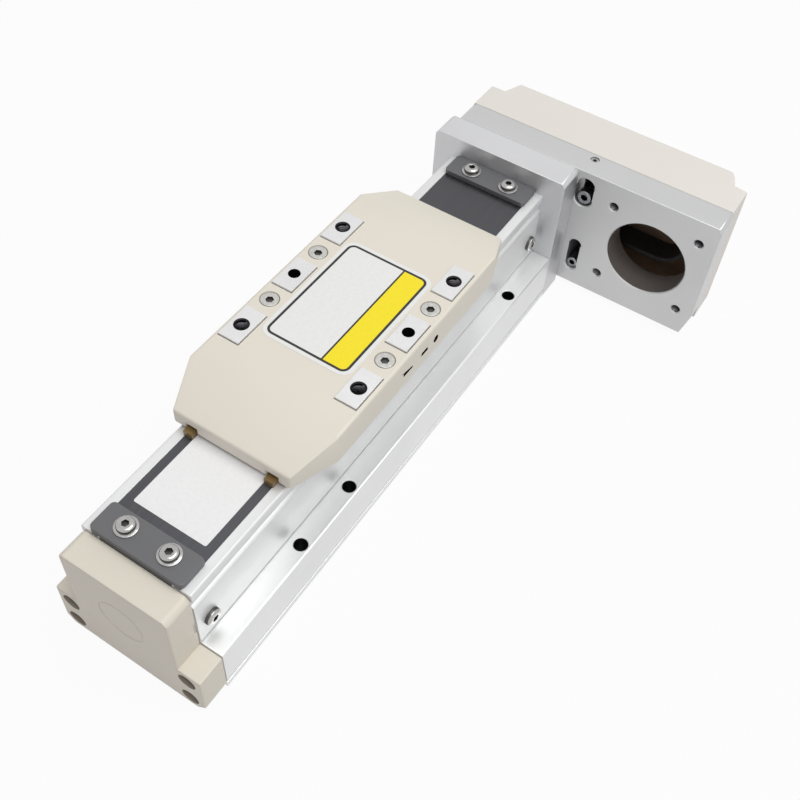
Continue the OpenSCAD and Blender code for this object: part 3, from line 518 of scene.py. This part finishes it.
# painted shade: the cut sides of the skirt's slots and of the grease hole take a dark look
def insideSkirt(f):
    c = f.center
    return (abs(f.normal.y) < 0.5
            and coverLow.y + skin < c.y < coverLow.y + skirtSlots["deepest"]
            and abs(c.z - skirtSlots["level"]) < skirtSlots["half"]
            and abs(c.x - slideX) < skirtSlots["reach"])


# painted shade: the cones of the shell's countersinks take a darker look, a ring round each head
def insideSink(f):
    low, high = shellSinks["slope"]
    across = gap(abs(f.center.x - slideX), abs(f.center.y),
                 [(shellSinks["along"], shellSinks["across"])])
    return across < shellSinks["radius"] and low < abs(f.normal.z) < high


# painted shade: the walls of the cap's screw seats take a darker look
def insideCap(f):
    c = f.center
    across = gap(abs(c.y), c.z, [(capSeats["across"], z) for z in capSeats["levels"]])
    return (across < capSeats["radius"] and c.x > capLow.x + rimDepth
            and abs(f.normal.x) < square)


# painted shade: the walls of the flange's holes take a dark look
def insideFlange(f):
    c = f.center
    across = gap(c.x, abs(c.y), [(x, flange["across"]) for x in flange["holes"]])
    return (across < flange["radius"] and c.z < flange["middle"] - rimDepth
            and abs(f.normal.z) < square)


# painted shade: the bore's wall takes a darker look
def insideBore(f):
    across = gap(f.center.y, f.center.z, [(motorBore["y"], motorBore["z"])])
    return motorBore["from"] < across < motorBore["to"] and abs(f.normal.x) < square


# "mouth" is the chamfer on the holes, on short edges whose ends pass "mouthAt"; "insides" are
# painted shade: the darker looks of the faces within
edgeWork = {
    "base_profile": {"name": "baseBody", "body": "base", "look": "baseMetal",
                     "slot": "base_metal", "width": 0.00025, "shortest": 0.004,
                     "mouth": 0.0002, "mouthAt": lambda co: co.z > flange["middle"] - hair,
                     "insides": {"holeShade": insideFlange}},
    "side_cover_left": {"name": "sideCoverLeft", "body": "base", "look": "coverMetal",
                        "slot": "cover_metal", "width": 0.00012, "shortest": 0.004},
    "side_cover_right": {"name": "sideCoverRight", "body": "base", "look": "coverMetal",
                         "slot": "cover_metal", "width": 0.00012, "shortest": 0.004},
    "end_cap": {"name": "endCap", "body": "base", "look": "capPlastic",
                "slot": "cap_plastic", "width": 0.0007, "shortest": 0.0015,
                "insides": {"capShade": insideCap}},
    "bearing_block": {"name": "bearingBlock", "body": "base", "look": "blockMetal",
                      "slot": "block_metal", "width": 0.0003, "shortest": 0.003},
    "motor_plate": {"name": "motorPlate", "body": "base", "look": "plateMetal",
                    "slot": "plate_metal", "width": 0.0003, "shortest": 0.003, "sliver": 0.00002,
                    "mouth": 0.0004, "mouthAt": lambda co: co.x < plateFront + hair,
                    "insides": {"boreShadeMetal": insideBore}},
    "belt_cover": {"name": "beltCover", "body": "base", "look": "beltPlastic",
                   "slot": "belt_plastic", "width": 0.0007, "shortest": 0.002,
                   "where": onLidOutside, "refill": False, "sliver": 0.000005,
                   "insides": {"beltInsideShade": insideLid}},
    "strip_clamp_near": {"name": "clampNear", "body": "base", "look": "clampSteel",
                         "slot": "clamp_steel", "width": 0.0002, "shortest": 0.0002},
    "strip_clamp_far": {"name": "clampFar", "body": "base", "look": "clampSteel",
                        "slot": "clamp_steel", "width": 0.0002, "shortest": 0.0002},
    "slider_cover": {"name": "sliderShell", "body": "carriage", "look": "sliderPlastic",
                     "slot": "slider_plastic", "width": 0.0007, "shortest": 0.002,
                     "where": onShellOutside, "refill": False, "sliver": 0.000005,
                     "insides": {"holeShade": insideSkirt, "seatShade": insideSink}},
    # the dowel holes in the middle pads are reamed and keep a sharp mouth
    "slider_table": {"name": "sliderPads", "body": "carriage", "look": "padMetal",
                     "slot": "table_metal", "width": 0.00012, "shortest": 0.004, "mouth": 0.0004,
                     "mouthAt": lambda co: co.z > padTop - hair and abs(co.x - slideX) > 0.01,
                     "insides": {"holeShade": insideTable}},
}
for node, work in edgeWork.items():
    piece = workCopy(node, work["name"])
    breakEdges(piece, work["width"], work["shortest"], where=work.get("where"),
               refill=work.get("refill", True))
    if "mouth" in work:
        breakEdges(piece, work["mouth"], holeEdge["shortest"], segments=1, sharper=60,
                   where=lambda e: e.calc_length() < holeEdge["longest"]
                   and all(work["mouthAt"](v.co) for v in e.verts))
    if "sliver" in work:
        closeSlivers(piece, work["sliver"])
    finishShading(piece)
    piece.data.materials.append(finish[work["look"]])
    for look, inside in work.get("insides", {}).items():
        piece.data.materials.append(finish[look])
        for f in piece.data.polygons:
            if inside(f):
                f.material_index = len(piece.data.materials) - 1
    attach(piece, work["body"])
    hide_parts(node)
print("edges broken")

# button heads, domed, with a hexagon socket; with a washer where there is one
heads = {
    "clamp_screws": {"name": "clampScrews", "radius": 0.00275, "height": 0.0017, "washer": 0.0035,
                     "washerHeight": 0.0005, "shank": 0.0015, "socket": "socketShadeSteel"},
    "side_cover_screws": {"name": "sideScrews", "radius": 0.00275, "height": 0.0018,
                          "washer": 0, "washerHeight": 0, "shank": 0.0015,
                          "socket": "holeShade"},
}
hexagon = 0.00115  # radius to the socket's corners
button = {"dome": 0.62, "underEdge": 0.00012, "socketRim": 0.00009, "socketTurn": 18,
          "biteDepth": 0.003, "biteRise": 0.0002, "shankLength": 0.004, "shankMiddle": -0.0019}


def cylinder(sides, radius, depth, middle, turn=0):
    clearSelection()
    bpy.ops.mesh.primitive_cylinder_add(vertices=sides, radius=radius, depth=depth,
                                        location=(0, 0, middle),
                                        rotation=(0, 0, math.radians(turn)))
    piece = bpy.context.object
    applyPlace(piece)
    return piece


def buttonHead(name, work):
    radius, height, lift = work["radius"], work["height"], work["washerHeight"]
    top = lift + height
    head = cylinder(56, radius, height, lift + height / 2)
    bevelEdges(head, lambda e: all(v.co.z > top - hair / 2 for v in e.verts),
               height * button["dome"], 7)
    bevelEdges(head, lambda e: all(v.co.z < lift + hair / 2 for v in e.verts),
               button["underEdge"], 2)
    # socket, drilled hexagon with a slightly broken rim
    key = cylinder(6, hexagon, button["biteDepth"], top + button["biteRise"],
                   button["socketTurn"])
    bite = head.modifiers.new("socket", "BOOLEAN")
    bite.operation = "DIFFERENCE"
    bite.solver = "EXACT"
    bite.object = key
    applyModifiers(head)
    bpy.data.objects.remove(key, do_unlink=True)
    bevelEdges(head, lambda e: e.is_convex and all(v.co.z > top - hair
                                                   and v.co.xy.length < hexagon + 0.00003
                                                   for v in e.verts), button["socketRim"], 1)
    parts = [head]
    if work["washer"]:
        washer = cylinder(56, work["washer"], lift, lift / 2)
        bevelEdges(washer, lambda e: abs(e.verts[0].co.z - e.verts[1].co.z) < hair / 2,
                   button["underEdge"], 2)
        parts.append(washer)
    parts.append(cylinder(24, work["shank"], button["shankLength"], button["shankMiddle"]))
    head = joined(parts, name)
    for look in ("screwSteel", "socketShadeSteel", work["socket"]):
        head.data.materials.append(finish[look])
    # the socket takes the third look, the head's upright side the second: both are darker looks
    # painted as shade
    for f in head.data.polygons:
        out = f.center.xy.length
        if out < hexagon + 0.00005 and lift + 0.0002 < f.center.z < top - 0.0001:
            f.material_index = 2
        elif abs(f.normal.z) < 0.35 and out < radius + 0.00001 and f.center.z > lift:
            f.material_index = 1
    return head


# one copy of the model at each place and turn, joined; the model goes
def turnedCopies(model, places, name):
    made = []
    for place, turn in places:
        pick(model)
        bpy.ops.object.duplicate(linked=False)
        one = bpy.context.view_layer.objects.active
        one.location = place
        one.rotation_euler = turn
        applyPlace(one)
        made.append(one)
    bpy.data.objects.remove(model, do_unlink=True)
    return joined(made, name)


for node, work in heads.items():
    low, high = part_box(node)
    rim = work["washer"] or work["radius"]
    if node == "clamp_screws":
        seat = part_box("strip_clamp_near")[1].z
        places = [((x, y, seat), (0, 0, turn)) for x, y, turn in (
            (low.x + rim, low.y + rim, 0.3), (low.x + rim, high.y - rim, 0.9),
            (high.x - rim, low.y + rim, 1.3), (high.x - rim, high.y - rim, 0.5))]
    else:
        seat = high.y - work["height"]
        level = (low.z + high.z) / 2
        places = [((x, side * seat, level), (-side * math.pi / 2, 0, 0))
                  for x in (low.x + rim, high.x - rim) for side in (-1, 1)]
    piece = turnedCopies(buttonHead(work["name"] + "Model", work), places, work["name"])
    smoothBelow(piece, 32)
    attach(piece, "base")
    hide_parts(node)

# socket heads sunk in their seats: broken rims, and sockets with painted shade
sunk = {
    "end_cap_screws": {"name": "capScrews", "body": "base", "way": (-1, 0, 0), "round": 0.0004},
    "belt_cover_screws": {"name": "lidScrews", "body": "base", "way": (1, 0, 0), "round": 0.0004},
    "slot_screw_upper": {"name": "slotScrew", "body": "base", "way": (-1, 0, 0), "round": 0.0004,
                         "look": "slotSteel"},
    "slot_screw_lower": {"name": "slotScrewLow", "body": "base", "way": (-1, 0, 0),
                         "round": 0.0004, "look": "slotSteel"},
    "slider_cover_screws": {"name": "shellScrews", "body": "carriage", "way": (0, 0, 1),
                            "round": 0.00015, "look": "flatSteel", "socket": "socketShadeSteel"},
}
# the head's rim has short edges and the socket's long ones; a socket's faces lie a little
# below the top, and have few corners
rimEdges = {"shortest": 0.00005, "longest": 0.0006}
socketEdges = {"shortest": 0.0009, "chamfer": 0.0001}
socketFaces = {"from": 0.0002, "to": 0.0019, "area": 0.0000006}
for node, work in sunk.items():
    low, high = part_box(node)
    way = Vector(work["way"])
    top = max(way.dot(low), way.dot(high))
    piece = workCopy(node, work["name"])
    breakEdges(piece, work["round"], rimEdges["shortest"], segments=4, sharper=40,
               where=lambda e: e.calc_length() < rimEdges["longest"]
               and all(way.dot(v.co) > top - hair for v in e.verts))
    breakEdges(piece, socketEdges["chamfer"], socketEdges["shortest"], segments=1, sharper=40,
               where=lambda e: all(way.dot(v.co) > top - hair for v in e.verts))
    finishShading(piece, 40)
    for look in (work.get("look", "screwSteel"), work.get("socket", "holeShade")):
        piece.data.materials.append(finish[look])
    for f in piece.data.polygons:
        if (socketFaces["from"] < top - way.dot(f.center) < socketFaces["to"]
                and f.area > socketFaces["area"] and len(f.vertices) <= fewCorners):
            f.material_index = 1
    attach(piece, work["body"])
    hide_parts(node)
print("screw heads made")

# cut threads, a ridge wound down each tapped hole from just under its mouth, darker in colour as
# painted shade
corners = [(a, b) for a in (-1, 1) for b in (-1, 1)]
tapped = {
    "load": {"body": "carriage", "slot": "table_metal", "radius": 0.00212, "inner": 0.00182,
             "pitch": 0.0008, "turns": 9, "turn": (math.pi, 0, 0),
             "places": [(slideX + a * padHoles["along"][2], b * padHoles["across"],
                         padTop - 0.0007) for a, b in corners]},
    "motor": {"body": "base", "slot": "plate_metal", "radius": 0.00167, "inner": 0.00142,
              "pitch": 0.0007, "turns": 9, "turn": (0, math.pi / 2, 0),
              "places": [(plateFront + 0.0004, motorBore["y"] + a * motorBore["screws"],
                          motorBore["z"] + b * motorBore["screws"]) for a, b in corners]},
}
ridgeShape = {"crest": 0.48, "foot": 0.96, "steps": 28}  # shares of the pitch, steps to a turn


def woundRidge(name, radius, inner, pitch, turns):
    clearSelection()
    bpy.ops.mesh.primitive_circle_add(vertices=3, radius=pitch / 2, fill_type="NOTHING")
    ridge = bpy.context.object
    ridge.name = name
    section = [(radius, 0, 0), (inner, 0, pitch * ridgeShape["crest"]),
               (radius, 0, pitch * ridgeShape["foot"])]
    for v, co in zip(ridge.data.vertices, section):
        v.co = co
    wind = ridge.modifiers.new("wind", "SCREW")
    wind.axis = "Z"
    wind.screw_offset = pitch
    wind.iterations = turns
    wind.steps = ridgeShape["steps"]
    wind.render_steps = ridgeShape["steps"]
    wind.use_smooth_shade = False
    applyModifiers(ridge)
    # caps on both ends
    pick(ridge)
    bpy.ops.object.mode_set(mode="EDIT")
    bpy.ops.mesh.select_mode(type="EDGE")
    bpy.ops.mesh.select_all(action="DESELECT")
    bpy.ops.mesh.select_non_manifold()
    bpy.ops.mesh.fill_holes(sides=3)
    bpy.ops.mesh.select_all(action="SELECT")
    bpy.ops.mesh.normals_make_consistent(inside=False)
    bpy.ops.object.mode_set(mode="OBJECT")
    return ridge


for name, tap in tapped.items():
    ridge = woundRidge(name + "Thread", tap["radius"], tap["inner"], tap["pitch"], tap["turns"])
    threads = turnedCopies(ridge, [(place, tap["turn"]) for place in tap["places"]],
                           name + "Threads")
    smoothBelow(threads, 35)
    threads.data.materials.append(finish["tapShadeMetal"])
    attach(threads, tap["body"])
print("threads cut")


# the steel strip, in two stretches that meet over the slider's middle
strip = {
    "held": 0.0860,    # the strip stays put outside this distance from the base's middle
    "nearRamp": 0.0540,  # start of the raised part, from the slider's middle
}


def stripHalf(name, side):
    piece = workCopy("cover_strip", name)
    cuts = [slideX, side * strip["held"], slideX + side * strip["nearRamp"]]
    for i, x in enumerate(cuts):
        editAll(piece)
        bpy.ops.mesh.bisect(plane_co=(x, 0, 0), plane_no=(1, 0, 0), use_fill=False,
                            clear_outer=(i == 0 and side < 0), clear_inner=(i == 0 and side > 0))
    bpy.ops.object.mode_set(mode="OBJECT")
    finishShading(piece, 40)
    piece.data.materials.append(finish["stripSteel"])
    if side < 0:
        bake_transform(piece)
    else:
        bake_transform(piece)
    return piece


stripNear = stripHalf("stripNear", -1)
stripHalf("stripFar", 1)
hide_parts("cover_strip")
print("strip made")

# stickers: a thin sheet with rounded corners
sticker = {
    "top": {"length": 0.0482, "width": 0.0320, "corner": 0.0038, "thick": 0.00012,
            "shift": -0.0008, "line": 0.00085, "margin": 0.0013, "bandFrom": 0.0099,
            "divider": 0.0006},
    "paper": {"length": 0.0283, "width": 0.0254, "corner": 0.0006, "thick": 0.00008,
              "start": -0.0820, "lift": 0.00001},
}


def roundedSheet(name, x, z, size):
    clearSelection()
    bpy.ops.mesh.primitive_plane_add(size=1, location=(x, 0, z))
    piece = bpy.context.object
    piece.name = name
    piece.scale = (size["length"], size["width"], 1)
    applyPlace(piece)
    pick(piece)
    bpy.ops.object.mode_set(mode="EDIT")
    bpy.ops.mesh.select_mode(type="VERT")
    bpy.ops.mesh.select_all(action="SELECT")
    bpy.ops.mesh.bevel(offset=size["corner"], segments=6, affect="VERTICES")
    bpy.ops.mesh.select_all(action="SELECT")
    bpy.ops.mesh.extrude_region_move(TRANSFORM_OT_translate={"value": (0, 0, size["thick"])})
    bpy.ops.mesh.select_all(action="SELECT")
    bpy.ops.mesh.normals_make_consistent(inside=False)
    bpy.ops.object.mode_set(mode="OBJECT")
    return piece


def paint(piece, look):
    piece.active_material_index = list(piece.data.materials).index(finish[look])
    bpy.ops.object.material_slot_assign()


topSize = sticker["top"]
topX = slideX + topSize["shift"]
topSticker = roundedSheet("topSticker", topX, coverHigh.z, topSize)
for look in ("whiteFilm", "yellowFilm", "blackInk"):
    topSticker.data.materials.append(finish[look])
# printed outline, then the band across one long side
selectWhere(topSticker, "FACE", lambda f: f.normal.z > 0.9)
bpy.ops.mesh.inset(thickness=topSize["margin"])
paint(topSticker, "blackInk")
bpy.ops.mesh.inset(thickness=topSize["line"])
paint(topSticker, "whiteFilm")
frameWidth = topSize["margin"] + topSize["line"]
innerX = topSize["length"] / 2 - frameWidth
innerY = topSize["width"] / 2 - frameWidth
bandLow = -topSize["width"] / 2 + topSize["bandFrom"]
bandHigh = bandLow + topSize["divider"]


def withinPrint(f):
    c = f.calc_center_bounds()
    return f.normal.z > 0.9 and f.calc_area() > 0.000001 and abs(c.x - topX) < innerX / 2


for y in (bandLow, bandHigh):
    selectWhere(topSticker, "FACE", withinPrint)
    bpy.ops.mesh.bisect(plane_co=(0, y, 0), plane_no=(0, 1, 0))
    bpy.ops.object.mode_set(mode="OBJECT")
for look, low, high in (("yellowFilm", -innerY, bandLow), ("blackInk", bandLow, bandHigh)):
    selectWhere(topSticker, "FACE",
                lambda f: withinPrint(f) and low < f.calc_center_bounds().y < high)
    paint(topSticker, look)
    bpy.ops.object.mode_set(mode="OBJECT")
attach(topSticker, "carriage")

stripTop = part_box("side_cover_left")[1].z  # the strip lies level with the side covers
paperSize = sticker["paper"]
paperLabel = roundedSheet("paperLabel", paperSize["start"] + paperSize["length"] / 2,
                          stripTop + paperSize["lift"], paperSize)
paperLabel.data.materials.append(finish["paper"])
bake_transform(paperLabel)
print("stickers made")

# studio
studio = {
    "floorTone": tone(206, 206, 207),
    "floorRadius": 6,
    "whiteSeen": 0.94,      # how far the floor is lifted to white for the camera
    "whiteMirrored": 0.8,   # and in reflections
    "airMirrored": 0.8,
    "worldLevel": 0.47,
    "airTint": (1.0, 0.96, 0.958, 1),
    "lampTint": (0.958, 1.0, 0.952),
    "lamps": {"topSoftbox": {"place": (0.05, -0.33, 0.95), "side": 0.8, "power": 6.5}},
    "camera": {"place": (-0.18020, -0.12461, 0.29347), "turn": (38.8015, -2.7106, -56.9420),
               "lens": 47.656, "sensor": 36, "shift": (-0.00195, -0.01294), "nearest": 0.01},
}


# how white the surroundings look to the camera and in reflections; plain light sees none
def looksAt(tree, seen, mirrored):
    path = tree.nodes.new("ShaderNodeLightPath")
    total = None
    for ray, share in (("Is Camera Ray", seen), ("Is Glossy Ray", mirrored),
                       ("Is Transmission Ray", mirrored)):
        part = tree.nodes.new("ShaderNodeMath")
        part.operation = "MULTIPLY"
        part.inputs[1].default_value = share
        tree.links.new(path.outputs[ray], part.inputs[0])
        if total:
            either = tree.nodes.new("ShaderNodeMath")
            either.operation = "MAXIMUM"
            tree.links.new(total, either.inputs[0])
            tree.links.new(part.outputs["Value"], either.inputs[1])
            part = either
        total = part.outputs["Value"]
    return total


def evenGlow(tree, kind, colour, strength):
    node = tree.nodes.new(kind)
    node.inputs["Color"].default_value = colour
    node.inputs["Strength"].default_value = strength
    return node.outputs[0]


# one shader for plain light, another for what looks at the surface
def lifted(tree, plain, shown, seen, mirrored, out):
    mix = tree.nodes.new("ShaderNodeMixShader")
    tree.links.new(looksAt(tree, seen, mirrored), mix.inputs["Fac"])
    tree.links.new(plain, mix.inputs[1])
    tree.links.new(shown, mix.inputs[2])
    tree.links.new(mix.outputs["Shader"], out.inputs["Surface"])


white = (1, 1, 1, 1)
clearSelection()
bpy.ops.mesh.primitive_circle_add(vertices=64, radius=studio["floorRadius"], fill_type="NGON",
                                  location=(0, 0, 0))
floor = bpy.context.object
floor.name = "floorSheet"
floorMaterial, tree, shader = startMaterial("studioPaper", 0.0, 0.7)
tinted(tree, grain(tree, 60), shader, studio["floorTone"], darker=0.985, lighter=1.01)
shader.inputs["Specular IOR Level"].default_value = 0.1
out = next(n for n in tree.nodes if n.type == "OUTPUT_MATERIAL")
lifted(tree, shader.outputs["BSDF"], evenGlow(tree, "ShaderNodeEmission", white, 1.0),
       studio["whiteSeen"], studio["whiteMirrored"], out)
floor.data.materials.append(floorMaterial)

world = bpy.data.worlds.new("studioAir")
bpy.context.scene.world = world
world.use_nodes = True
tree = world.node_tree
tree.nodes.clear()
out = tree.nodes.new("ShaderNodeOutputWorld")
lit = evenGlow(tree, "ShaderNodeBackground", studio["airTint"], studio["worldLevel"])
lifted(tree, lit, evenGlow(tree, "ShaderNodeBackground", white, 1.0),
       1.0, studio["airMirrored"], out)

for name, light in studio["lamps"].items():
    clearSelection()
    bpy.ops.object.light_add(type="AREA", location=light["place"])
    lamp = bpy.context.object
    lamp.name = name
    lamp.data.shape = "RECTANGLE"
    lamp.data.size = light["side"]
    lamp.data.size_y = light["side"]
    lamp.data.energy = light["power"]
    lamp.data.color = studio["lampTint"]
    # aimed at the origin
    lamp.rotation_euler = (-Vector(light["place"])).to_track_quat("-Z", "Y").to_euler()

clearSelection()
view = studio["camera"]
bpy.ops.object.camera_add(location=view["place"],
                          rotation=[math.radians(a) for a in view["turn"]])
camera = bpy.context.object
camera.name = "studioCamera"
camera.data.lens = view["lens"]
camera.data.sensor_width = view["sensor"]
camera.data.shift_x, camera.data.shift_y = view["shift"]
camera.data.clip_start = view["nearest"]
bpy.context.scene.camera = camera
bpy.context.scene.view_settings.view_transform = "Standard"
print("studio set")
